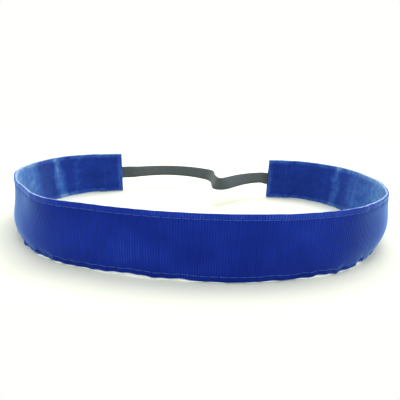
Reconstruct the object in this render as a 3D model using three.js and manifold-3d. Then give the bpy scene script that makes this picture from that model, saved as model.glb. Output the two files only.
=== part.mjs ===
// A sports headband: a grosgrain ribbon lined with a velvet ribbon, sewn together round the edge,
// with a flat braided elastic between its two ends. It stands on its lower edge and opens to the back.
//
// Millimetres, +Z up. The band's front middle faces -Y and the elastic lies at +Y. Every piece
// stands upright, so each is a strip: a line drawn in plan, given a thickness and a height.
// The band bends at its front middle, so each ribbon and each thread is a left and a right half
// (left at -X) with a narrow gap between them at the bend.

import * as THREE from 'three';
import { mergeVertices } from 'three/addons/utils/BufferGeometryUtils.js';
import Module from 'manifold-3d';

// ---- Driving dimensions ----

const bandLength = 390; // finished band, from end to end along the grosgrain
const ribbonWidth = 22.2; // both ribbons, which is how tall the band stands
const grosgrainThickness = 0.4;
const velvetThickness = 0.7; // backing and pile
const layerClearance = 0.1; // between two layers that lie on each other

const hemLength = 13; // how far each ribbon is turned in at each end
const hemRampLength = 8; // over which the lining comes back to the outer ribbon past the hem
const hemRowFromHemEdge = 2; // the row of stitches across each hem, from where the turned-in part stops

const elasticWidth = 6;
const elasticThickness = 1.1;
const elasticFreeLength = 133; // between the two hems, along its bends
const elasticPastHemRow = 1; // how far it reaches into each hem past the row that holds it

const seamInset = 1.8; // the seam round the edge, from every edge of the band
const threadThickness = 0.3; // how far a thread stands out of the cloth
const threadWidth = 0.35;
const hemRowClearance = 1; // between the ends of a hem row and the seam round the edge

const bendGap = 1; // between the left and right halves at the front middle

// How the band stands: its turning, in degrees, over eight equal stretches of each half,
// counted from the front middle to the end.
const leftBends = [13.4, 9.3, 30.1, 16.3, 12.8, 19.9, 32.4, 30.5];
const rightBends = [11.2, 21.2, 23.0, 17.1, 18.4, 14.1, 38.4, 47.8];

// How the loose elastic lies: [share of the way from the left end to the right one, millimetres
// to the back of the straight line between them]. The second number is scaled until the elastic
// has its free length.
const elasticRoute = [
  [0.08, 3.5], [0.17, 8], [0.26, 11.4], [0.34, 12.7], [0.42, 12.2], [0.49, 10], [0.55, 6.2],
  [0.597, 1], [0.622, -6.5], [0.633, -14], [0.648, -21], [0.678, -23.8], [0.715, -21.4],
  [0.76, -15.6], [0.815, -9.2], [0.88, -4.5], [0.945, -1.8],
];

// Fineness of the faceted strips
const stationsPerStretch = 5;
const hemStationSpacing = 2;
const stationsPerElasticPoint = 4;
const foldSteps = 4; // facets round each turned-in end

// ---- Sizes that follow ----

const halfLength = bandLength / 2;
const stretchLength = halfLength / leftBends.length;
const middleHeight = ribbonWidth / 2;
const hemRowInset = hemLength - hemRowFromHemEdge;
const elasticPocketDepth = hemRowInset + elasticPastHemRow;
const rampStart = halfLength - hemLength - layerClearance;
const rampEnd = rampStart - hemRampLength;

// Each layer's middle, inwards from the middle of the outer ribbon
const grosgrainTurnIn = grosgrainThickness + layerClearance;
const elasticLayer = grosgrainTurnIn + (grosgrainThickness + elasticThickness) / 2 + layerClearance;
const velvetTurnIn = elasticLayer + (elasticThickness + velvetThickness) / 2 + layerClearance;
const velvetAtHem = velvetTurnIn + velvetThickness + layerClearance;
const velvetAlongBand = (grosgrainThickness + velvetThickness) / 2 + layerClearance;
const needleThreadLayer = (grosgrainThickness + threadThickness) / 2 + layerClearance;
const bobbinThreadLayer = (velvetThickness + threadThickness) / 2 + layerClearance;

// ---- The band's line in plan ----

// The point `along` the half from the front middle, with its direction there and the way inwards.
// side is -1 for the left half and +1 for the right one.
function bandPoint(side, along) {
  const bends = side < 0 ? leftBends : rightBends;
  const last = bends.length - 1;
  const point = new THREE.Vector2();
  let heading = 0;
  for (let stretch = 0; stretch <= last; stretch += 1) {
    const start = stretch * stretchLength;
    const reached = stretch === last ? along : Math.min(along, start + stretchLength);
    const curvature = THREE.MathUtils.degToRad(bends[stretch]) / stretchLength;
    const next = heading + (reached - start) * curvature;
    point.x += (Math.sin(next) - Math.sin(heading)) / curvature;
    point.y += (Math.cos(heading) - Math.cos(next)) / curvature;
    heading = next;
    if (reached >= along) break;
  }
  return {
    point: new THREE.Vector2(side * point.x, point.y),
    direction: new THREE.Vector2(side * Math.cos(heading), Math.sin(heading)),
    inwards: new THREE.Vector2(-side * Math.sin(heading), Math.cos(heading)),
  };
}

// Distances from the front middle at which the strips of one half have their corners
function stationsBetween(from, to) {
  const stations = [from];
  const coarse = stretchLength / stationsPerStretch;
  for (let along = coarse; along < Math.min(to, rampEnd); along += coarse) {
    if (along > from + coarse / 4) stations.push(along);
  }
  const fineFrom = Math.max(from, rampEnd);
  const steps = Math.max(1, Math.ceil((to - fineFrom) / hemStationSpacing));
  for (let step = to > rampEnd && from < rampEnd ? 0 : 1; step <= steps; step += 1) {
    stations.push(fineFrom + ((to - fineFrom) * step) / steps);
  }
  return stations;
}

// The lining's middle: close to the outer ribbon, and lifted off it where the hem is between them
function liningLayer(along) {
  const lift = THREE.MathUtils.smoothstep(along, rampEnd, rampStart);
  return THREE.MathUtils.lerp(velvetAlongBand, velvetAtHem, lift);
}

function linePoints(side, stations, layer) {
  return stations.map((along) => {
    const { point, inwards } = bandPoint(side, along);
    const depth = typeof layer === 'function' ? layer(along) : layer;
    return point.addScaledVector(inwards, depth);
  });
}

// ---- Strips ----

// The same line moved sideways, to its left as it runs
function movedLine(line, distance) {
  return line.map((point, index) => {
    const before = line[Math.max(index - 1, 0)];
    const after = line[Math.min(index + 1, line.length - 1)];
    const arriving = index > 0 ? point.clone().sub(before).normalize() : null;
    const leaving = index < line.length - 1 ? after.clone().sub(point).normalize() : null;
    const first = arriving ?? leaving;
    const second = leaving ?? arriving;
    const along = first.clone().add(second).normalize();
    const reach = distance / along.dot(first);
    return new THREE.Vector2(point.x - along.y * reach, point.y + along.x * reach);
  });
}

function strip(line, thickness, low, high) {
  const outline = [...movedLine(line, -thickness / 2), ...movedLine(line, thickness / 2).reverse()];
  const shape = new THREE.Shape(outline);
  const geometry = new THREE.ExtrudeGeometry(shape, { depth: high - low, bevelEnabled: false });
  return geometry.translate(0, 0, low);
}

const wasm = await Module();
wasm.setup();

function toSolid(geometry) {
  const bare = geometry.clone();
  bare.deleteAttribute('normal');
  bare.deleteAttribute('uv');
  const merged = mergeVertices(bare, 1e-5);
  return new wasm.Manifold(new wasm.Mesh({
    numProp: 3,
    vertProperties: merged.attributes.position.array,
    triVerts: new Uint32Array(merged.index.array),
  }));
}

function joined(geometries) {
  const solid = geometries.map(toSolid).reduce((whole, piece) => whole.add(piece));
  const mesh = solid.getMesh();
  const geometry = new THREE.BufferGeometry();
  geometry.setAttribute('position', new THREE.BufferAttribute(mesh.vertProperties, 3));
  geometry.setIndex(new THREE.BufferAttribute(mesh.triVerts, 1));
  geometry.computeVertexNormals();
  return geometry;
}

// ---- The pieces ----

// One half of a ribbon, with its end turned in. The turned-in part lies `towards` the elastic:
// +1 when that is inwards, as on the outer ribbon, and -1 when it is outwards, as on the lining.
function ribbonHalf(side, thickness, layer, towards) {
  const pitch = thickness + layerClearance;
  const foldRadius = pitch / 2;
  const foldStart = halfLength - foldRadius - thickness / 2;
  const line = linePoints(side, stationsBetween(bendGap / 2, foldStart), layer);
  const { point, direction, inwards } = bandPoint(side, foldStart);
  const depth = typeof layer === 'function' ? layer(foldStart) : layer;
  const centre = point.clone().addScaledVector(inwards, depth + towards * foldRadius);
  for (let step = 1; step < foldSteps; step += 1) {
    const turn = (Math.PI * step) / foldSteps;
    const outwardsReach = Math.sin(turn) * foldRadius;
    const acrossReach = -towards * Math.cos(turn) * foldRadius;
    line.push(centre.clone().addScaledVector(direction, outwardsReach)
      .addScaledVector(inwards, acrossReach));
  }
  const turnedIn = stationsBetween(halfLength - hemLength, foldStart).reverse();
  line.push(...linePoints(side, turnedIn, depth + towards * pitch));
  return strip(line, thickness, 0, ribbonWidth);
}

// One half of a seam round the edge: a row along each long edge, joined by one across the end.
// It lies `distance` off the middle of its ribbon, whose middle is at `layer`.
function edgeSeamHalf(side, layer, distance) {
  const acrossAt = halfLength - seamInset;
  const nearEnd = [acrossAt - threadWidth / 2, acrossAt + threadWidth / 2];
  const alongStations = [...stationsBetween(bendGap / 2, nearEnd[0]), nearEnd[1]];
  const sideways = side * distance;
  const row = movedLine(linePoints(side, alongStations, layer), sideways);
  const across = row.slice(-2);
  const low = seamInset - threadWidth / 2;
  const high = ribbonWidth - seamInset + threadWidth / 2;
  return joined([
    strip(row, threadThickness, low, low + threadWidth),
    strip(row, threadThickness, high - threadWidth, high),
    strip(across, threadThickness, low, high),
  ]);
}

// A row of stitches across a hem, which holds the elastic
function hemRow(side, layer, distance) {
  const acrossAt = halfLength - hemRowInset;
  const stations = [acrossAt - threadWidth / 2, acrossAt + threadWidth / 2];
  const line = movedLine(linePoints(side, stations, layer), side * distance);
  const low = seamInset + hemRowClearance;
  return strip(line, threadThickness, low, ribbonWidth - low);
}

// The elastic between the two pocket mouths, with the bends scaled by `bulge`
function looseElastic(bulge) {
  const inside = hemStationSpacing;
  const [leftInside, leftMouth] = linePoints(-1, [halfLength - inside, halfLength], elasticLayer);
  const [rightInside, rightMouth] = linePoints(1, [halfLength - inside, halfLength], elasticLayer);
  const chord = rightMouth.clone().sub(leftMouth);
  const toTheBack = new THREE.Vector2(-chord.y, chord.x).normalize();
  const between = elasticRoute.map(([share, back]) => leftMouth.clone()
    .addScaledVector(chord, share).addScaledVector(toTheBack, back * bulge));
  const points = [leftInside, leftMouth, ...between, rightMouth, rightInside];
  const curve = new THREE.SplineCurve(points);
  const spans = points.length - 1;
  const samples = (spans - 2) * stationsPerElasticPoint;
  return Array.from({ length: samples + 1 }, (_, index) => (
    curve.getPoint((1 + index / stationsPerElasticPoint) / spans)));
}

function lineLength(line) {
  return line.slice(1).reduce((sum, point, index) => sum + point.distanceTo(line[index]), 0);
}

// The bulge that gives the elastic its free length; a shorter elastic is drawn straight
function elasticBulge() {
  let small = 0;
  let large = 4;
  for (let step = 0; step < 40; step += 1) {
    const middle = (small + large) / 2;
    if (lineLength(looseElastic(middle)) < elasticFreeLength) small = middle;
    else large = middle;
  }
  return small;
}

function elasticStrap() {
  const inPocket = stationsBetween(halfLength - elasticPocketDepth, halfLength).slice(0, -1);
  const line = [
    ...linePoints(-1, inPocket, elasticLayer),
    ...looseElastic(elasticBulge()),
    ...linePoints(1, inPocket, elasticLayer).reverse(),
  ];
  const low = middleHeight - elasticWidth / 2;
  return strip(line, elasticThickness, low, low + elasticWidth);
}

// ---- Materials ----

const grosgrain = new THREE.MeshStandardMaterial({ color: 0x20358e, roughness: 0.75, metalness: 0 });
const velvet = new THREE.MeshStandardMaterial({ color: 0x1b2f86, roughness: 0.95, metalness: 0 });
const thread = new THREE.MeshStandardMaterial({ color: 0x7fa3dc, roughness: 0.6, metalness: 0 });
const elastic = new THREE.MeshStandardMaterial({ color: 0x3b4044, roughness: 0.85, metalness: 0 });

// ---- Assembly ----

const headband = new THREE.Group();

function addPiece(name, geometry, material) {
  const mesh = new THREE.Mesh(geometry, material);
  mesh.name = name;
  headband.add(mesh);
}

for (const [side, hand] of [[-1, 'left'], [1, 'right']]) {
  addPiece(`grosgrain_ribbon_${hand}`, ribbonHalf(side, grosgrainThickness, 0, 1), grosgrain);
  addPiece(`velvet_lining_${hand}`, ribbonHalf(side, velvetThickness, liningLayer, -1), velvet);
  addPiece(`edge_seam_needle_thread_${hand}`, edgeSeamHalf(side, 0, -needleThreadLayer), thread);
  addPiece(`edge_seam_bobbin_thread_${hand}`, edgeSeamHalf(side, liningLayer, bobbinThreadLayer), thread);
  addPiece(`hem_row_needle_thread_${hand}`, hemRow(side, 0, -needleThreadLayer), thread);
  addPiece(`hem_row_bobbin_thread_${hand}`, hemRow(side, liningLayer, bobbinThreadLayer), thread);
}
addPiece('elastic_strap', elasticStrap(), elastic);

// The origin is on the floor, under the middle of the whole headband.
const middle = new THREE.Box3().setFromObject(headband).getCenter(new THREE.Vector3());
headband.position.set(-middle.x, -middle.y, 0);

export default headband;
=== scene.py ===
"""A sports headband standing on its lower edge: a ribbed grosgrain ribbon outside, a velvet ribbon
inside, a seam round the edge, turned-in ends, and a flat braided elastic between them.

Shapes are worked out in millimetres and turned into metres when a mesh is made. A place on the
band is given by three numbers: `along`, from the front middle, negative to the left; `depth`,
inwards from the middle of the grosgrain; and `height`, above the floor.
"""

import math

import bpy
import numpy as np
from mathutils import Matrix, Vector


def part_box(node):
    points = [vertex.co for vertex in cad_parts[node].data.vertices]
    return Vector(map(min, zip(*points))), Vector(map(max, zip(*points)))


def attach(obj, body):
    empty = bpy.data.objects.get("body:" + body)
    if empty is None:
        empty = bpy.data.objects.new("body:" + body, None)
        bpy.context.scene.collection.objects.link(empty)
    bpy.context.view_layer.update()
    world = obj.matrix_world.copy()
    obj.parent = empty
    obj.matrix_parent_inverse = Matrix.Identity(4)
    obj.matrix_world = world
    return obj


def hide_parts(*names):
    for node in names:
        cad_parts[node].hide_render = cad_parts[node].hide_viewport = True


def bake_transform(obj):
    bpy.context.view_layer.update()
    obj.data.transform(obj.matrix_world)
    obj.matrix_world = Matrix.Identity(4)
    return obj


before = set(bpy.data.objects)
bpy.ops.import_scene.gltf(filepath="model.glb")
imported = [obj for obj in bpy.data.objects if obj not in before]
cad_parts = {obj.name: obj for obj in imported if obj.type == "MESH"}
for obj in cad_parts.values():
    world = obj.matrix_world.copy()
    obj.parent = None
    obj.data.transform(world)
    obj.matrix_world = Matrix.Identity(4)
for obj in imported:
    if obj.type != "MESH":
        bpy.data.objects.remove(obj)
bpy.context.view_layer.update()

MM = 0.001

# ---- Sizes of the cloth, in millimetres ----

BAND_LENGTH = 390.0
GROSGRAIN = 0.4  # thickness
VELVET = 0.7  # thickness, with its pile
LAYER_GAP = 0.05
HEM_LENGTH = 13.0
HEM_RAMP = 8.0  # over which the lining comes back to the outer ribbon past the hem
HEM_EDGE_RAMP = 2.4  # the same, along the two edges
HEM_DRAW = 0.42  # how far the ribbons draw together in the hem beside the elastic
HEM_ROW_INSET = 11.0  # of the row across each hem, from the band's end
SEAM_INSET = 1.8
ELASTIC_WIDTH = 6.0
ELASTIC_THICKNESS = 1.1
ELASTIC_DEPTH = 1.35  # of its middle, in the hems
ELASTIC_FREE_LENGTH = 133.0
ELASTIC_IN_HEM = 12.0
ELASTIC_KINK = 86.0  # how far from its left end it turns back
ELASTIC_STEP = 0.5  # between the stations of its mesh
HEM_ROW_TO_SEAM = 1.0  # from the ends of a hem row to the seam along the edges
STITCH_PITCH = 3.0
STITCH_LENGTH = 2.92
THREAD_RADIUS = 0.10
THREAD_SIDES = 7
THREAD_STAND = 0.35  # share of its radius by which it stands off the grosgrain or sinks in the pile

# How the band turns, in degrees, over eight equal stretches of each half from the front middle
LEFT_BENDS = (13.4, 9.3, 30.1, 16.3, 12.8, 19.9, 32.4, 30.5)
RIGHT_BENDS = (11.2, 21.2, 23.0, 17.1, 18.4, 14.1, 38.4, 47.8)
BEND_BLUR = 7.0  # over which one stretch's bend passes into the next

# How each side of the loop bellies: place along the band, how far it stands out, at what share of
# the height and over what share, and how far it turns in at the floor
SIDE_BELLIES = ((-88, 1.2, 0.25, 0.25, 0.8), (84, 2.2, 0.42, 0.36, 1.6))
BELLY_REACH = 30

# Where the rim turns inwards: place along the band, reach, and how far
RIM_CORNERS = ((-77, 12, 1.2), (-93, 8, 0.7), (86, 4, -0.3))

# How the cloth waves. It puckers most at the front corners, where the band turns hardest
CORNER_PLACE = 78  # along the band, on both sides
CORNER_REACH = 34
SWAY = 0.32  # slow bulges of the whole width
SWAY_TILT = 0.5  # and how far the top and the bottom differ in them
PUCKER = 0.32
PUCKER_SEED = 5
PINCH_REACH = 0.62  # to each side of the seam
OUTER_PINCH = 0.13  # how far the seam draws the outer ribbon in
LINING_PINCH = 0.12  # and the lining out
OUTER_LIFT = 1.2  # how far the outer ribbon's lower edge waves up
LINING_LIFT = 0.25
LINING_DROP = 0.34  # how far the lining's upper edge lies below the outer one at the front
EDGE_WAVE_SEED = 4
WAVES_IN_RIPPLE = 4

# How the loose elastic lies: share of the way from the left end to the right one, and
# millimetres to the back of the straight line between them
ELASTIC_ROUTE = (
    (0.08, 3.5), (0.17, 8), (0.26, 11.4), (0.34, 12.7), (0.42, 12.2), (0.49, 10.2), (0.55, 7.0),
    (0.59, 4.2), (0.615, 0.5), (0.627, -5), (0.633, -11.5), (0.642, -18), (0.656, -22.2),
    (0.685, -23.6), (0.72, -21), (0.76, -15.8), (0.815, -9.4), (0.88, -4.5), (0.945, -1.8),
)

# Where the velvet's nap has been folded over, with painted sheen in the broad marks near the sides of
# the loop: along the band, reach, slant, and strength
CRUSH_AND_SHEEN_MARKS = (
    (-154.3, 5.2, -0.17, 0.42), (-129, 13.0, -0.10, 0.40), (-106, 24.0, 0.0, 0.50),
    (-167, 6.0, 0.25, 0.12), (150.5, 5.0, 0.05, 0.24), (133, 12.0, 0.1, 0.16),
    (110, 24.0, 0.2, 0.42), (135, 40.0, 0.0, 0.08),
)

# Where the grosgrain shines softly at the sides, as above
SHINES = ((-95, 12, 0.10, 0.30), (-77, 4.5, 0.45, 0.16), (-66, 3.5, 0.40, 0.10), (92, 14, 0.10, 0.12))

# Where the lining's bare edge shows under the outer ribbon, with a painted highlight on it there: along
# the band, reach, and rise
PEEKS = ((-25, 9, 0.75), (-9, 5, 0.5), (39, 4, 0.5), (58, 4, 0.5))

# ---- Places from the frame ----

LEFT_LOW, LEFT_HIGH = (np.array(corner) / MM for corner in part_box("grosgrain_ribbon_left"))
RIGHT_LOW = np.array(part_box("grosgrain_ribbon_right")[0]) / MM
WIDTH = LEFT_HIGH[2]  # of both ribbons
FRONT_MIDDLE = np.array([(LEFT_HIGH[0] + RIGHT_LOW[0]) / 2, LEFT_LOW[1] + GROSGRAIN / 2])
HALF = BAND_LENGTH / 2


# ---- Curves and fields ----

def smooth(value, low, high):
    """0 below low, 1 above high, and a smooth passage between."""
    share = np.clip((value - low) / (high - low), 0, 1)
    return share * share * (3 - 2 * share)


def ripple(value, wave, seed):
    """A gentle irregular wave between about -1 and 1, whose main length is `wave`."""
    value = np.asarray(value, float)
    total = np.zeros_like(value)
    for index in range(WAVES_IN_RIPPLE):
        length = wave * (0.62 + 0.37 * index + 0.11 * math.sin(7.3 * seed + index))
        total = total + np.sin(2 * math.pi * value / length + 2.4 * seed + 1.9 * index * index)
    return total / WAVES_IN_RIPPLE * 1.5


def band_tables():
    """Arc length, plan place and heading along the band, in fine even steps."""
    step = 0.25
    reach = HALF + 4
    along = np.arange(-reach, reach + step / 2, step)
    stretch = HALF / len(LEFT_BENDS)
    number = np.minimum((np.abs(along) / stretch).astype(int), len(LEFT_BENDS) - 1)
    bends = np.where(along < 0, np.array(LEFT_BENDS)[number], np.array(RIGHT_BENDS)[number])
    window = np.bartlett(int(2 * BEND_BLUR / step) | 1)
    padded = np.pad(np.radians(bends) / stretch, len(window) // 2, mode="edge")
    rate = np.convolve(padded, window / window.sum(), mode="valid")
    middle = len(along) // 2
    heading = np.cumsum(rate) * step
    heading -= heading[middle]
    x = np.cumsum(np.cos(heading)) * step
    y = np.cumsum(np.sin(heading)) * step
    return along, x - x[middle] + FRONT_MIDDLE[0], y - y[middle] + FRONT_MIDDLE[1], heading


TABLE = band_tables()


def band_point(along):
    """Plan place and inward direction, each with a last axis of two."""
    steps, x, y, heading = TABLE
    turned = np.interp(along, steps, heading)
    place = np.stack([np.interp(along, steps, x), np.interp(along, steps, y)], -1)
    return place, np.stack([-np.sin(turned), np.cos(turned)], -1)


def spot(along, depth, height):
    """Points in the row's frame from places on the band."""
    along, depth, height = np.broadcast_arrays(along, depth, height)
    place, inwards = band_point(along)
    return np.concatenate([place + inwards * depth[..., None], height[..., None]], -1)


def from_edge(height):
    return np.minimum(height, WIDTH - height)


def bell(value, middle, reach):
    """1 at the middle, falling away to nothing about two reaches from it."""
    return np.exp(-((value - middle) / reach) ** 2)


def side_belly(along, height):
    """The two sides of the loop stand out below half height and turn in at the floor."""
    up = height / WIDTH
    depth = 0.0
    for middle, most, at, spread, foot in SIDE_BELLIES:
        outwards = most * bell(up, at, spread) - foot * (1 - up) ** 6
        depth = depth - bell(along, middle, BELLY_REACH) * outwards
    return depth


def rim_corner(along, height):
    """On the left the rim runs nearly straight to its outermost point and folds there."""
    inwards = sum(most * bell(along, middle, reach) for middle, reach, most in RIM_CORNERS)
    return smooth(height, WIDTH * 0.4, WIDTH) * inwards


def sway(along, height):
    """Slow bulges and hollows that the whole band shares."""
    tilt = height / WIDTH - 0.5
    ends = 1 - smooth(np.abs(along), HALF - 30, HALF - 5)
    slow = SWAY * ripple(along, 47, 1) + SWAY_TILT * tilt * ripple(along, 38, 2)
    return ends * slow + side_belly(along, height) + rim_corner(along, height)


def corner_strength(along):
    """The band puckers most where it turns hardest, at its front corners."""
    return bell(np.abs(along), CORNER_PLACE, CORNER_REACH)


def pucker(along, height, seed):
    """Cloth gathered by the seam: it waves in and out along the seam and past it."""
    edge = 1 - smooth(from_edge(height), 0.2, SEAM_INSET + 2.2)
    low = np.where(height < WIDTH / 2, 1.0 + 1.6 * corner_strength(along), 0.5)
    waves = ripple(along, 10, seed) * 0.9 + ripple(along, 5, seed + 3) * 0.15
    return PUCKER * edge * low * waves


def pinch(height):
    """How far the seam draws the two ribbons together, from 0 to 1."""
    return bell(from_edge(height), SEAM_INSET, PINCH_REACH)


def hem_share(along, height):
    """From 0 on the plain band to 1 on the hem; the seam keeps the passage short near the edges."""
    ramp = HEM_EDGE_RAMP + (HEM_RAMP - HEM_EDGE_RAMP) * smooth(from_edge(height), 0.8, 6.5)
    return smooth((np.abs(along) - (HALF - HEM_LENGTH)) / ramp, -1, 0)


def elastic_swell(height):
    """1 over the elastic in the hems, and 0 where only the ribbons lie there."""
    return 1 - smooth(np.abs(height - WIDTH / 2), ELASTIC_WIDTH / 2 - 0.3, ELASTIC_WIDTH / 2 + 2.6)


def outer_depth(along, height):
    """Of the middle of the outer ribbon's cloth."""
    flat = HEM_DRAW * hem_share(along, height) * (1 - elastic_swell(height))
    end = smooth(np.abs(along), HALF - SEAM_INSET - 1.2, HALF - SEAM_INSET) * 0.05
    own = pucker(along, height, PUCKER_SEED)
    return sway(along, height) + own + OUTER_PINCH * pinch(height) + flat + end


def lining_depth(along, height):
    """Of the middle of the lining's cloth, which the hem's layers and the elastic push inwards."""
    plain = (GROSGRAIN + VELVET) / 2 + LAYER_GAP
    stack = 2 * GROSGRAIN + ELASTIC_THICKNESS * elastic_swell(height) + 2 * VELVET + 4 * LAYER_GAP
    at_hem = stack - GROSGRAIN / 2 - VELVET / 2 + HEM_DRAW * (1 - elastic_swell(height))
    between = plain + (at_hem - plain) * hem_share(along, height)
    shared = pucker(along, height, PUCKER_SEED) * 0.75
    own = shared + pucker(along, height, PUCKER_SEED + 3) * 0.25
    return sway(along, height) + own - LINING_PINCH * pinch(height) + between


def peek(along, height):
    """How far the outer ribbon's lower edge rides up, so that the lining's edge shows under it."""
    raised = sum(rise * bell(along, middle, reach) for middle, reach, rise in PEEKS)
    return raised * (1 - smooth(height, 0, 5))


def edge_lift(along, height, most):
    """How far the cloth's long edges wave up and down; the lower edge never goes below the floor."""
    low_share = 1 - smooth(height, 0, 6.5)
    high_share = smooth(height, WIDTH - 5, WIDTH)
    waves = ripple(along, 10.5, EDGE_WAVE_SEED) + ripple(along, 5, EDGE_WAVE_SEED + 1) * 0.12
    waves = 0.5 + 0.5 * np.clip(waves, -1, 1)
    strength = 0.35 + 0.65 * corner_strength(along)
    return most * strength * low_share * waves - 0.22 * most * high_share * (1 - waves) * strength


# ---- Meshes ----

def grid_faces(rows, columns):
    """Quads of a grid whose columns close on themselves."""
    row, column = np.meshgrid(np.arange(rows - 1), np.arange(columns), indexing="ij")
    after = (column + 1) % columns
    first = row * columns
    return np.stack([first + column, first + after, first + columns + after,
                     first + columns + column], -1).reshape(-1, 4)


def make_mesh(name, points, faces, cloth):
    """A smooth mesh whose points know their place on the flat cloth."""
    mesh = bpy.data.meshes.new(name)
    mesh.from_pydata((np.asarray(points) * MM).tolist(), [], [list(map(int, face)) for face in faces])
    mesh.polygons.foreach_set("use_smooth", [True] * len(mesh.polygons))
    layer = mesh.attributes.new("cloth", "FLOAT_VECTOR", "POINT")
    layer.data.foreach_set("vector", np.asarray(cloth, np.float32).ravel())
    mesh.update()
    piece = bpy.data.objects.new(name, mesh)
    bpy.context.scene.collection.objects.link(piece)
    return piece


def grid_normals(points):
    forward = np.gradient(points, axis=0)
    across = np.gradient(points, axis=1)
    normal = np.cross(forward, across)
    return normal / np.maximum(np.linalg.norm(normal, axis=-1, keepdims=True), 1e-9)


def cloth_solid(name, middle, thickness, cloth, rounding=0.4):
    """A closed sheet round the grid `middle`, [station, row, xyz], with rounded long edges.
    `cloth` holds each grid point's place on the flat cloth; a third number says which face."""
    normal = grid_normals(middle)
    half = normal * (np.broadcast_to(thickness, middle.shape[:2])[..., None] / 2)
    front, back = middle + half, middle - half
    rows = middle.shape[1]

    def brow(row, inner):
        outwards = middle[:, row] - middle[:, inner]
        outwards /= np.linalg.norm(outwards, axis=-1, keepdims=True)
        size = np.linalg.norm(half[:, row], axis=-1, keepdims=True) * 2 * rounding
        return (middle[:, row] + outwards * size)[:, None]

    loop = np.concatenate([front, brow(-1, -2), back[:, ::-1], brow(0, 1)], 1)

    def with_face(values, face):
        return np.concatenate([values, np.full(values.shape[:2] + (1,), float(face))], -1)

    marks = np.concatenate([with_face(cloth, 1), with_face(cloth[:, -1:], 0),
                            with_face(cloth[:, ::-1], -1), with_face(cloth[:, :1], 0)], 1)
    stations, around = loop.shape[:2]
    faces = grid_faces(stations, around).tolist()
    for end, flip in ((0, False), (stations - 1, True)):
        base = end * around
        for row in range(rows - 1):
            quad = [base + row, base + row + 1, base + 2 * rows - row - 1, base + 2 * rows - row]
            faces.append(quad if flip else quad[::-1])
        for tri in ([base + rows - 1, base + rows, base + rows + 1],
                    [base + 2 * rows, base + 2 * rows + 1, base]):
            faces.append(tri if flip else tri[::-1])
    return make_mesh(name, loop.reshape(-1, 3), faces, marks)


def turned_in_grid(depth_of, pitch, heights):
    """Stations of a ribbon from the raw edge inside one hem, round its fold, along the band, and
    round the other fold. `pitch` is how far the turned-in part lies inwards of the main part."""
    fold = abs(pitch) / 2
    last = HALF - fold
    main = np.linspace(-last, last, int(2 * last) + 1)
    turned = np.linspace(HALF - HEM_LENGTH, last, 9)[:-1]
    turns = np.linspace(math.pi, 0, 6)[:-1]
    along = np.concatenate([-turned, -last - fold * np.sin(turns), main,
                            (last + fold * np.sin(turns))[::-1], turned[::-1]])
    share = np.concatenate([np.ones(len(turned)), (1 - np.cos(turns)) / 2, np.zeros(len(main)),
                            ((1 - np.cos(turns)) / 2)[::-1], np.ones(len(turned))])
    grid_along, grid_height = np.meshgrid(along, heights, indexing="ij")
    main_along = np.clip(grid_along, -last, last)
    depth = depth_of(main_along, grid_height) + pitch * share[:, None]
    moved = np.hypot(np.diff(along), np.diff(share) * abs(pitch) * 1.2)
    laid = np.concatenate([[0], np.cumsum(moved)])
    laid -= laid[len(laid) // 2]
    return grid_along, depth, grid_height, laid


def cloth_rows():
    """Heights of a ribbon's rows, closer together near the two long edges."""
    edge = np.array([0.12, 0.5, 1.0, 1.5, 1.9, 2.3, 2.7, 3.2, 3.9])
    inner = np.linspace(4.8, WIDTH - 4.8, 16)
    return np.concatenate([edge, inner, WIDTH - edge[::-1]])


def ribbon(name, depth_of, thickness, pitch, lift):
    """One ribbon with its two ends turned in, as a closed sheet."""
    along, depth, height, laid = turned_in_grid(depth_of, pitch, cloth_rows())
    middle = spot(along, depth, height + lift(along, height))
    cloth = np.stack([np.broadcast_to(laid[:, None], height.shape), height], -1)
    return cloth_solid(name, middle, thickness, cloth)


def stitch_row(start, end):
    """Middles and half steps of the stitches on a straight row between two (along, height) places."""
    start, end = np.array(start, float), np.array(end, float)
    length = np.linalg.norm(end - start)
    count = max(1, round(length / STITCH_PITCH))
    middles = start + (end - start) * ((np.arange(count) + 0.5) / count)[:, None]
    half = (end - start) / length * STITCH_LENGTH / 2
    return middles, np.broadcast_to(half, middles.shape)


def stitches(name, rows, depth_of, thickness, inside, lift):
    """One short round thread for each stitch, whose two ends go down into the cloth."""
    middles, halves = (np.concatenate(part) for part in zip(*(stitch_row(*row) for row in rows)))
    share = np.array([-1.0, -0.86, -0.5, 0.0, 0.5, 0.86, 1.0])
    sink = np.array([0.20, 0.03, 0.0, -0.02, 0.0, 0.03, 0.20])
    radius = THREAD_RADIUS * np.array([0.62, 0.86, 1.0, 1.04, 1.0, 0.86, 0.62])
    along = middles[:, 0, None] + halves[:, 0, None] * share
    height = middles[:, 1, None] + halves[:, 1, None] * share
    outwards = 1 if inside else -1
    stand = thickness / 2 - outwards * THREAD_STAND * THREAD_RADIUS - sink
    depth = depth_of(along, height) + outwards * stand
    centre = spot(along, depth, height + lift(along, height))
    _, inwards = band_point(along)
    normal = np.concatenate([inwards, np.zeros(inwards.shape[:-1] + (1,))], -1)
    forward = np.gradient(centre, axis=1)
    forward /= np.linalg.norm(forward, axis=-1, keepdims=True)
    side = np.cross(forward, normal)
    side /= np.linalg.norm(side, axis=-1, keepdims=True)
    angle = np.arange(THREAD_SIDES) * 2 * math.pi / THREAD_SIDES
    ring = np.cos(angle)[:, None] * side[..., None, :] + np.sin(angle)[:, None] * normal[..., None, :]
    points = centre[..., None, :] + ring * radius[:, None, None]
    faces = []
    per_stitch = len(share) * THREAD_SIDES
    one = grid_faces(len(share), THREAD_SIDES).tolist()
    ends = [list(range(THREAD_SIDES))[::-1], list(range(per_stitch - THREAD_SIDES, per_stitch))]
    for number in range(len(middles)):
        base = number * per_stitch
        faces += [[base + corner for corner in face] for face in one + ends]
    twist = np.stack(np.broadcast_arrays((share * STITCH_LENGTH / 2)[:, None], angle, 0.0), -1)
    marks = np.broadcast_to(twist, (len(middles),) + twist.shape)
    return make_mesh(name, points.reshape(-1, 3), faces, marks)


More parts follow.
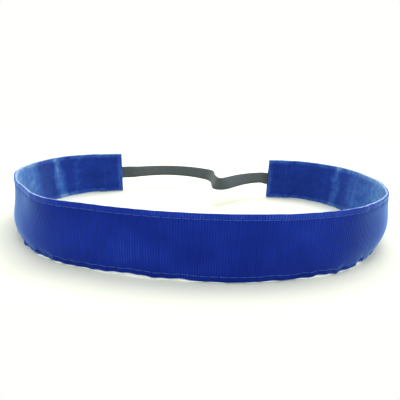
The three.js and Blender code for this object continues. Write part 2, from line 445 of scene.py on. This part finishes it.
# ---- The elastic ----

def spline(points, per_span):
    """A smooth curve through points, drawn between the second and the last but one."""
    points = np.asarray(points, float)
    share = np.arange(per_span) / per_span
    drawn = []
    for index in range(1, len(points) - 2):
        before, start, end, after = points[index - 1:index + 3]
        for t in share:
            drawn.append(0.5 * (2 * start + (end - before) * t
                                + (2 * before - 5 * start + 4 * end - after) * t ** 2
                                + (3 * start - before - 3 * end + after) * t ** 3))
    drawn.append(points[-2])
    return np.array(drawn)


def loose_route(bulge, per_span=4):
    """The route between the two mouths, with its bulges made larger or smaller."""
    inside = spot(np.array([-HALF + 2, -HALF, HALF, HALF - 2]), ELASTIC_DEPTH, 0.0)[:, :2]
    chord = inside[2] - inside[1]
    back = np.array([-chord[1], chord[0]]) / np.linalg.norm(chord)
    between = [inside[1] + chord * share + back * rise * bulge for share, rise in ELASTIC_ROUTE]
    return spline([inside[0], inside[1], *between, inside[2], inside[3]], per_span)


def line_length(line):
    return np.linalg.norm(np.diff(line, axis=0), axis=1).sum()


def elastic_line():
    """The elastic's plan line, from inside the left hem to inside the right one. Its bulges are
    scaled until the free part measures what it should."""
    small, large = 0.0, 4.0
    for _ in range(40):
        middle = (small + large) / 2
        if line_length(loose_route(middle)) < ELASTIC_FREE_LENGTH:
            small = middle
        else:
            large = middle
    in_hem = np.arange(HALF - ELASTIC_IN_HEM, HALF - 0.1, 0.6)
    left = spot(-in_hem, ELASTIC_DEPTH, 0.0)[:, :2]
    right = spot(in_hem[::-1], ELASTIC_DEPTH, 0.0)[:, :2]
    return np.concatenate([left, loose_route(small, 16), right])


def elastic_strap():
    """The flat braid on its line. It leans back, least at its kink, and rises a little to the right."""
    line = elastic_line()
    walked = np.concatenate([[0], np.cumsum(np.linalg.norm(np.diff(line, axis=0), axis=1))])
    even = np.linspace(0, walked[-1], int(walked[-1] / ELASTIC_STEP))
    line = np.stack([np.interp(even, walked, line[:, axis]) for axis in (0, 1)], -1)
    forward = np.gradient(line, axis=0)
    forward /= np.linalg.norm(forward, axis=1, keepdims=True)
    leftwards = np.stack([-forward[:, 1], forward[:, 0]], -1)
    across = np.linspace(-1, 1, 15)
    free = smooth(even, ELASTIC_IN_HEM - 1, ELASTIC_IN_HEM + 12) * (
        1 - smooth(even, even[-1] - ELASTIC_IN_HEM - 6, even[-1] - ELASTIC_IN_HEM + 1))
    lean = free * (0.60 - 0.36 * bell(even, ELASTIC_KINK, 17) + 0.05 * ripple(even, 52, 3))
    rise = free * (0.75 * smooth(even, 70, 110) + 0.1 * ripple(even, 60, 6))
    height = WIDTH / 2 + rise[:, None] + across * ELASTIC_WIDTH / 2 * np.cos(lean)[:, None]
    aside = (across * ELASTIC_WIDTH / 2) * np.sin(lean)[:, None]
    plan = line[:, None] + leftwards[:, None] * aside[..., None]
    middle = np.concatenate([plan, height[..., None]], -1)
    thickness = ELASTIC_THICKNESS * (1 - 0.42 * np.abs(across) ** 5)
    cloth = np.stack(np.broadcast_arrays(even[:, None], (across + 1) * ELASTIC_WIDTH / 2), -1)
    return cloth_solid("elastic_strap_braid", middle, thickness, cloth, rounding=0.5)


# ---- Materials ----

RIB_PITCH = 0.85
PLY_PITCH = 0.42
BRAID_COLUMNS = 9
BRAID_PITCH = 0.9
FLOOR_FULL = 0.25  # metres from the middle, up to where the floor is opaque
FLOOR_GONE = 0.7  # and from where it is clear


class Wire:
    """A socket of a finish's node tree. Arithmetic on it adds Math nodes."""

    def __init__(self, finish, socket):
        self.finish = finish
        self.socket = socket

    def math(self, operation, *values):
        return self.finish.node("Math", {"operation": operation}, dict(enumerate(values)))

    def __add__(self, other):
        return self.math("ADD", self, other)

    def __radd__(self, other):
        return self.math("ADD", other, self)

    def __sub__(self, other):
        return self.math("SUBTRACT", self, other)

    def __rsub__(self, other):
        return self.math("SUBTRACT", other, self)

    def __mul__(self, other):
        return self.math("MULTIPLY", self, other)

    def __rmul__(self, other):
        return self.math("MULTIPLY", other, self)

    def __truediv__(self, other):
        return self.math("DIVIDE", self, other)

    def __rtruediv__(self, other):
        return self.math("DIVIDE", other, self)

    def __pow__(self, other):
        return self.math("POWER", self, other)

    def sine(self):
        return self.math("SINE", self)

    def size(self):
        return self.math("ABSOLUTE", self)

    def whole(self):
        return self.math("FLOOR", self)

    def fraction(self):
        return self.math("FRACT", self)

    def step(self, low, high):
        """0 below low, 1 above high, and a smooth passage between."""
        settings = {"interpolation_type": "SMOOTHSTEP"}
        return self.finish.node("MapRange", settings, {0: self, "From Min": low, "From Max": high})


class Finish:
    """A procedural material around one Principled shader."""

    def __init__(self, name, **constants):
        self.material = bpy.data.materials.new(name)
        self.material.use_nodes = True
        self.tree = self.material.node_tree
        self.shader = self.tree.nodes["Principled BSDF"]
        for label, value in constants.items():
            socket = label.replace("_", " ").title().replace("Ior", "IOR")
            self.shader.inputs[socket].default_value = value

    def node(self, kind, settings=None, inputs=None, output=0):
        """A node of the type ShaderNode<kind>: its settings first, then its sockets."""
        made = self.tree.nodes.new("ShaderNode" + kind)
        for label, value in (settings or {}).items():
            if label == "stops":
                ramp = made.color_ramp
                while len(ramp.elements) < len(value):
                    ramp.elements.new(1)
                for element, (place, colour) in zip(ramp.elements, value):
                    element.position = place
                    element.color = (*colour, 1)
            else:
                setattr(made, label, value)
        for label, value in (inputs or {}).items():
            self.set(made.inputs[label], value)
        return Wire(self, made.outputs[output])

    def set(self, socket, value):
        if isinstance(value, Wire):
            self.tree.links.new(value.socket, socket)
        elif isinstance(value, tuple) and len(value) == 3 and socket.type == "RGBA":
            socket.default_value = (*value, 1)
        else:
            socket.default_value = value

    def feed(self, label, value):
        self.set(self.shader.inputs[label], value)

    def place(self):
        """The place on the flat cloth, in millimetres: along, across, and which face."""
        cloth = self.node("Attribute", {"attribute_name": "cloth"}, output="Vector")
        return [self.node("SeparateXYZ", None, {0: cloth}, output=axis) for axis in range(3)]

    def point(self, x, y, z=0.0):
        return self.node("CombineXYZ", None, {0: x, 1: y, 2: z})

    def noise(self, vector, scale, detail=2.0, roughness=0.5):
        return self.node("TexNoise", None, {"Vector": vector, "Scale": scale, "Detail": detail,
                                            "Roughness": roughness})

    def mix(self, share, first, second):
        return self.node("Mix", {"data_type": "RGBA"}, {0: share, 6: first, 7: second}, output=2)

    def bump(self, height, strength, distance):
        self.feed("Normal", self.node("Bump", None, {"Height": height, "Strength": strength,
                                                     "Distance": distance}))


def edge_distance(across):
    """From the nearer long edge of a ribbon."""
    return across.math("MINIMUM", across, WIDTH - across)


def soft_stripe(along, across, middle, reach, slant, strength):
    """A light stripe across the band, strongest at its middle."""
    from_middle = (along + (across - WIDTH / 2) * slant - middle).size() / reach
    return (1 - from_middle.step(0.0, 1.0)) * strength


def ribbed_grosgrain():
    """Fine upright ribs with painted shade in their troughs, showing in patches, and painted sheen at
    the two sides of the loop.
    """
    finish = Finish("ribbed_royal_grosgrain", roughness=0.8, specular_ior_level=0.02,
                    sheen_weight=1.0, sheen_roughness=0.34, sheen_tint=(0.30, 0.55, 0.96, 1))
    along, across, _ = finish.place()
    drift = finish.noise(finish.point(along * 0.03, 2.0), 1.0) * 0.4
    # Painted sheen: the two sides of the loop are lightened, and their ribs faded, where light grazes
    # the cloth.
    side_sheen = along.size().step(52, 76)
    # Painted shade: besides the bump, the colour is darkened in the troughs between the ribs.
    rib = ((along / RIB_PITCH + drift) * math.pi).sine().size() * (1 - side_sheen * 0.88)
    zone = finish.noise(finish.point(along * 0.045, across * 0.07, 7.0), 1.0, 2).step(0.38, 0.62)
    slub = finish.noise(finish.point(along * 1.3, across * 0.07), 1.0, 3)
    broad = finish.noise(finish.point(along * 0.035, across * 0.05), 1.0, 2)
    # Painted light on the margin above the seam, and painted shade on the margin below it, where the
    # cloth curls under.
    upper_margin = across.step(WIDTH - SEAM_INSET - 0.2, WIDTH - SEAM_INSET + 0.6)
    lower_margin = 1 - across.step(SEAM_INSET - 0.7, SEAM_INSET + 0.5)
    shine = sum(soft_stripe(along, across, *mark) for mark in SHINES)
    tone = (rib * (zone * 0.30 + 0.15) + slub * 0.4 + broad * 0.5 + upper_margin * 0.30
            - lower_margin * 0.12 + side_sheen * 0.29 + shine - 0.38)
    finish.feed("Base Color", finish.node("ValToRGB", {"stops": (
        (0.0, (0.0040, 0.014, 0.175)), (0.5, (0.0085, 0.027, 0.285)), (1.0, (0.030, 0.086, 0.49)))},
        {0: tone}))
    finish.feed("Roughness", 0.62 + slub * 0.2)
    finish.bump(rib * 0.8 + slub * 0.2, 0.8, 0.0001)
    return finish.material


def crushed_velvet():
    """Napped velvet with crushed stripes, painted sheen in broad marks and outside the seam, and
    painted light on its bare edge.
    """
    finish = Finish("crushed_royal_velvet", roughness=0.9, specular_ior_level=0.1,
                    sheen_weight=0.7, sheen_roughness=0.34, sheen_tint=(0.34, 0.66, 0.92, 1))
    along, across, face = finish.place()
    waver = finish.noise(finish.point(along * 0.09, across * 0.10, 3.0), 1.0, 1) - 0.5
    loose = along + waver * 7
    streaks = finish.noise(finish.point(loose * 0.085, across * 0.02), 1.0, 2, 0.45).step(0.54, 0.74)
    patches = finish.noise(finish.point(along * 0.07, across * 0.12, 4.0), 1.0, 3)
    blotch = finish.noise(finish.point(along * 0.35, across * 0.35, 8.0), 1.0, 3, 0.6)
    grain = finish.noise(finish.point(along, across, face), 3.2, 3, 0.75)
    # Crushed nap in the narrow marks, and painted sheen in the broad marks near the sides of the loop.
    marks = sum(soft_stripe(loose, across, *mark) for mark in CRUSH_AND_SHEEN_MARKS)
    to_end = HALF - along.size()
    to_edge = to_end.math("MINIMUM", to_end, edge_distance(across))
    # Painted sheen: the pile of the margin outside the seam and round the hems is lightened.
    margin = 1 - to_edge.step(SEAM_INSET - 1.0, SEAM_INSET + 1.2)
    tone = (streaks * 0.08 + patches * 0.34 + blotch * 0.34 + grain * 0.18
            + margin * (blotch * 0.30 + 0.08) + marks * (blotch * 1.0 + 0.5) - 0.14)
    nap = finish.node("ValToRGB", {"stops": (
        (0.1, (0.0050, 0.018, 0.160)), (0.40, (0.0125, 0.042, 0.300)), (0.68, (0.042, 0.130, 0.44)),
        (1.0, (0.16, 0.31, 0.58)))}, {0: tone})
    fray = finish.noise(finish.point(along * 0.5, 1.0), 1.0, 3).step(0.35, 0.65)
    # Painted rim light: a pale line along the velvet's bare long edges, broken by fraying.
    selvedge_rim_light = (1 - edge_distance(across).step(0.08, 0.27)) * (fray * 0.5 + 0.5)
    shown = sum(1 - ((along - middle).size() / reach).step(0.6, 1.7) for middle, reach, _ in PEEKS)
    # Painted highlight: where the lining's edge shows under the lifted outer ribbon, it is painted near
    # white.
    peek_highlight = shown * (1 - across.step(0.55, 0.95))
    edged = finish.mix(selvedge_rim_light, nap, (0.52, 0.66, 0.92))
    finish.feed("Base Color", finish.mix(peek_highlight, edged, (0.86, 0.90, 0.98)))
    finish.feed("Roughness", 0.82 + grain * 0.15)
    finish.bump(grain * 0.6 + blotch * 0.8, 0.7, 0.0002)
    return finish.material


def sewing_thread(name, groove, crown):
    """Twisted thread, with painted shade in the grooves between its plies."""
    finish = Finish(name, roughness=0.6, specular_ior_level=0.2, sheen_weight=0.15, sheen_roughness=0.5)
    along, around, _ = finish.place()
    ply = ((along / PLY_PITCH) * 2 * math.pi + around * 2).sine()
    # Painted shade: darker colour in the grooves between the plies.
    finish.feed("Base Color", finish.mix(ply * 0.5 + 0.5, groove, crown))
    finish.feed("Roughness", 0.6 + ply * 0.08)
    finish.bump(ply, 0.6, 0.00005)
    return finish.material


def braided_elastic():
    """Flat braid: columns along the strap, crossed by slants that change hands from one to the next."""
    finish = Finish("braided_charcoal_elastic", roughness=0.85, specular_ior_level=0.15,
                    sheen_weight=0.2, sheen_roughness=0.5, sheen_tint=(0.8, 0.9, 1.0, 1))
    along, across, _ = finish.place()
    strand = across / (ELASTIC_WIDTH / BRAID_COLUMNS)
    column = (strand * math.pi).sine().size()
    hand = (strand.whole() * 0.5).fraction() * 4 - 1
    chevron = ((along / BRAID_PITCH + strand * hand * 0.5) * 2 * math.pi).sine()
    fuzz = finish.noise(finish.point(along, across), 3.0, 3, 0.6)
    # Painted shade: the colour darkens in the gaps between the braid's columns.
    tone = column * 0.45 + chevron * 0.16 + fuzz * 0.4
    finish.feed("Base Color", finish.node("ValToRGB", {"stops": (
        (0.1, (0.030, 0.037, 0.037)), (0.9, (0.105, 0.128, 0.128)))}, {0: tone}))
    finish.feed("Roughness", 0.7 + fuzz * 0.2)
    finish.bump(column * 0.7 + chevron * 0.3 + fuzz * 0.2, 0.8, 0.0002)
    return finish.material


def pale_floor():
    """Paper that fades into the studio's light further out."""
    finish = Finish("pale_paper_floor", roughness=0.9, specular_ior_level=0.0)
    where = finish.node("TexCoord", output="Object")
    x, y, _ = (finish.node("SeparateXYZ", None, {0: where}, output=axis) for axis in range(3))
    mottle = finish.noise(where, 3.0, 2)
    finish.feed("Base Color", finish.mix(mottle, (0.86, 0.885, 0.75), (0.88, 0.90, 0.785)))
    finish.feed("Alpha", 1 - ((x * x + y * y) ** 0.5).step(FLOOR_FULL, FLOOR_GONE))
    return finish.material


# ---- Assembly ----

def dress(piece, material, nodes):
    """The piece's material, and the frame's nodes that it stands for."""
    piece.data.materials.append(material)
    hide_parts(*nodes)


def both(stem):
    return f"{stem}_left", f"{stem}_right"


def build_headband():
    def outer_lift(along, height):
        return edge_lift(along, height, OUTER_LIFT) + peek(along, height)

    def lining_lift(along, height):
        front = 1 - smooth(np.abs(along), 42, 70)
        dropped = LINING_DROP * front * smooth(height, WIDTH - 5, WIDTH)
        return edge_lift(along, height, LINING_LIFT) - dropped

    shell = ribbon("grosgrain_ribbon", outer_depth, GROSGRAIN, GROSGRAIN + LAYER_GAP, outer_lift)
    dress(shell, ribbed_grosgrain(), both("grosgrain_ribbon"))
    lining = ribbon("velvet_lining", lining_depth, VELVET, -VELVET - LAYER_GAP, lining_lift)
    dress(lining, crushed_velvet(), both("velvet_lining"))

    low, high, end = SEAM_INSET, WIDTH - SEAM_INSET, HALF - SEAM_INSET
    around = [((-end, high), (end, high)), ((end, high), (end, low)),
              ((end, low), (-end, low)), ((-end, low), (-end, high))]
    needle_thread = sewing_thread("light_blue_needle_thread", (0.020, 0.060, 0.33),
                                  (0.045, 0.125, 0.46))
    bobbin_thread = sewing_thread("royal_bobbin_thread", (0.012, 0.035, 0.25), (0.028, 0.075, 0.38))
    outside = stitches("edge_seam_needle_stitches", around, outer_depth, GROSGRAIN, False, outer_lift)
    dress(outside, needle_thread, both("edge_seam_needle_thread"))
    inside = stitches("edge_seam_bobbin_stitches", around, lining_depth, VELVET, True, lining_lift)
    dress(inside, bobbin_thread, both("edge_seam_bobbin_thread"))
    for piece in (shell, lining, outside, inside):
        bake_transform(piece)

    for hand, side in (("left", -1), ("right", 1)):
        place = side * (HALF - HEM_ROW_INSET)
        across = [((place, low + HEM_ROW_TO_SEAM), (place, high - HEM_ROW_TO_SEAM))]
        for kind, thread, depth_of, thickness, inner, lift in (
                ("needle", needle_thread, outer_depth, GROSGRAIN, False, outer_lift),
                ("bobbin", bobbin_thread, lining_depth, VELVET, True, lining_lift)):
            row = stitches(f"hem_row_{kind}_stitches_{hand}", across, depth_of, thickness, inner, lift)
            dress(row, thread, [f"hem_row_{kind}_thread_{hand}"])
            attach(row, f"{hand}_half")

    strap = elastic_strap()
    dress(strap, braided_elastic(), ["elastic_strap"])
    held = spot(np.array([-HALF, HALF]), ELASTIC_DEPTH, WIDTH / 2) * MM
    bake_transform(strap)


# ---- Stage, in metres ----

FLOOR_HALF = 2.0
FLOOR_DROP = 0.0003  # below the band, so that the two never share a plane
CAMERA_PLACE = (0.0017, -0.17405, 0.0515)
CAMERA_PITCH = 21.55  # degrees below level
CAMERA_ROLL = 1.99
CAMERA_LENS = 33.56  # millimetres, on a sensor 36 wide
CAMERA_SHIFT = 0.129
STUDIO_WHITE = (1.0, 1.0, 0.985, 1)


def add_light(name, place, target, size, power):
    data = bpy.data.lights.new(name, "AREA")
    data.shape = "DISK"
    data.size = size
    data.energy = power
    lamp = bpy.data.objects.new(name, data)
    lamp.location = place
    lamp.rotation_euler = (Vector(target) - Vector(place)).to_track_quat("-Z", "Y").to_euler()
    bpy.context.scene.collection.objects.link(lamp)


def build_stage():
    half, level = FLOOR_HALF, -FLOOR_DROP
    mesh = bpy.data.meshes.new("floor")
    corners = [(-half, -half, level), (half, -half, level), (half, half, level), (-half, half, level)]
    mesh.from_pydata(corners, [], [(0, 1, 2, 3)])
    floor = bpy.data.objects.new("floor", mesh)
    floor.data.materials.append(pale_floor())
    bpy.context.scene.collection.objects.link(floor)

    world = bpy.data.worlds.new("studio")
    bpy.context.scene.world = world
    world.use_nodes = True
    background = world.node_tree.nodes["Background"]
    background.inputs["Color"].default_value = STUDIO_WHITE
    background.inputs["Strength"].default_value = 1.0
    add_light("key", (0.14, 0.30, 0.80), (0, 0, 0), 0.8, 5.0)
    add_light("fill", (0.05, -0.70, 0.55), (0, -0.06, 0.01), 0.6, 0.6)
    bpy.context.scene.view_settings.view_transform = "Standard"


def build_camera():
    data = bpy.data.cameras.new("camera")
    data.sensor_width = 36
    data.lens = CAMERA_LENS
    data.shift_y = CAMERA_SHIFT
    camera = bpy.data.objects.new("camera", data)
    pitch, roll = math.radians(CAMERA_PITCH), math.radians(CAMERA_ROLL)
    turn = Matrix.Rotation(math.pi / 2 - pitch, 4, "X") @ Matrix.Rotation(roll, 4, "Z")
    camera.matrix_world = Matrix.Translation(CAMERA_PLACE) @ turn
    bpy.context.scene.collection.objects.link(camera)
    bpy.context.scene.camera = camera


build_camera()
build_stage()
build_headband()
